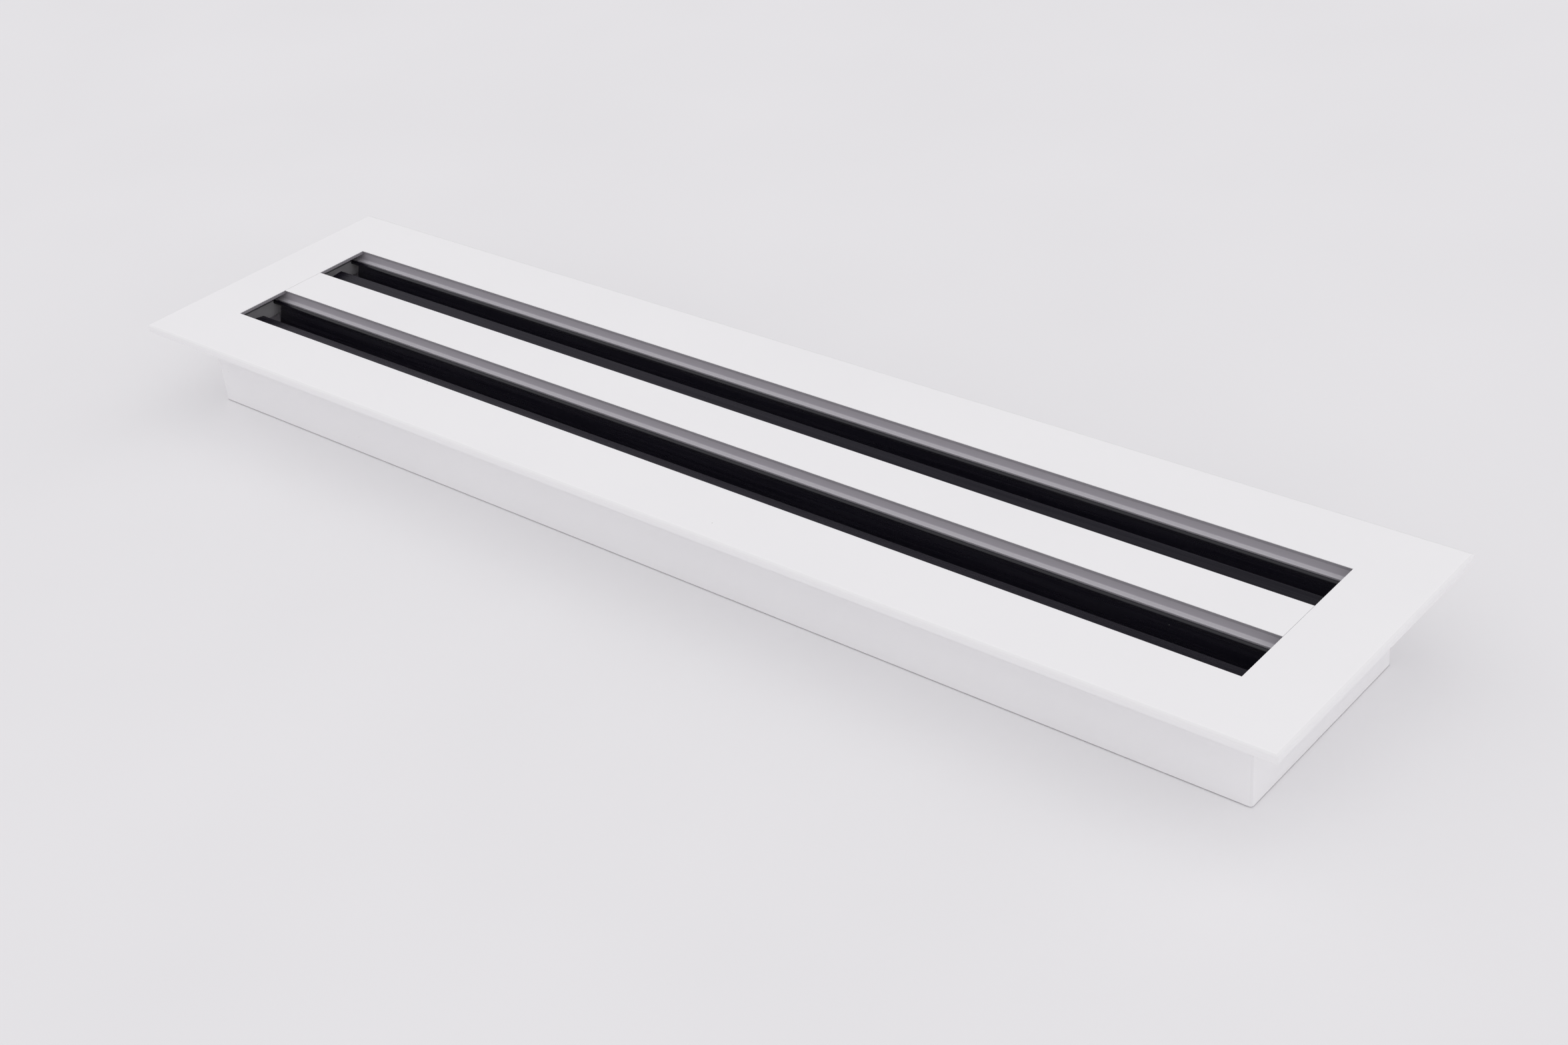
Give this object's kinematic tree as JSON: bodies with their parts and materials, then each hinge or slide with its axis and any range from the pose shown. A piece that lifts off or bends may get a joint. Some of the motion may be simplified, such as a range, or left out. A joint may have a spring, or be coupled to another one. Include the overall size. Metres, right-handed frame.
{
  "type": "linear slot diffuser",
  "caption": "Flat white air diffuser with long parallel slots, a wide flange over a short rectangular neck, and hinged black blades that steer or close the air stream.",
  "frame": {"origin": "centre of the neck rim's plane, below the middle of the face", "axes": "+X along the slots, +Y across them to the rear rail, +Z out of the face"},
  "size_m": [0.547, 0.127, 0.04],
  "materials": {
    "white_coat": "satin white powder coat on extruded aluminium",
    "black_coat": "satin black coat on extruded aluminium",
    "grey_plastic": "moulded grey plastic",
    "mill_aluminium": "mill finish",
    "steel": "zinc-plated steel"
  },
  "bodies": {
    "frame": {"front_rail": "white_coat", "rear_rail": "white_coat", "left_rail": "white_coat", "right_rail": "white_coat", "front_blade_rail": "white_coat", "rear_blade_rail": "white_coat", "centre_bar": "white_coat", "front_left_cap": "grey_plastic", "front_right_cap": "grey_plastic", "rear_left_cap": "grey_plastic", "rear_right_cap": "grey_plastic", "front_left_key": "mill_aluminium", "front_right_key": "mill_aluminium", "rear_left_key": "mill_aluminium", "rear_right_key": "mill_aluminium", "front_left_key_screws": "steel", "front_right_key_screws": "steel", "rear_left_key_screws": "steel", "rear_right_key_screws": "steel", "front_left_cap_screws": "steel", "front_right_cap_screws": "steel", "rear_left_cap_screws": "steel", "rear_right_cap_screws": "steel"},
    "front_slot_near_blade": {"front_slot_near_blade": "black_coat"},
    "front_slot_far_blade": {"front_slot_far_blade": "black_coat"},
    "rear_slot_near_blade": {"rear_slot_near_blade": "black_coat"},
    "rear_slot_far_blade": {"rear_slot_far_blade": "black_coat"}
  },
  "joints": [
    {"name": "front_slot_near_pivot", "type": "hinge", "parent": "frame", "child": "front_slot_near_blade", "pos_m": [0, -0.0326, 0.0342], "axis": [1, 0, 0], "range_deg": [-81, 29]},
    {"name": "front_slot_far_pivot", "type": "hinge", "parent": "frame", "child": "front_slot_far_blade", "pos_m": [0, -0.0124, 0.0342], "axis": [-1, 0, 0], "range_deg": [-18, 92]},
    {"name": "rear_slot_near_pivot", "type": "hinge", "parent": "frame", "child": "rear_slot_near_blade", "pos_m": [0, 0.0124, 0.0342], "axis": [1, 0, 0], "range_deg": [-94, 16]},
    {"name": "rear_slot_far_pivot", "type": "hinge", "parent": "frame", "child": "rear_slot_far_blade", "pos_m": [0, 0.0326, 0.0342], "axis": [-1, 0, 0], "range_deg": [-18, 92]}
  ]
}
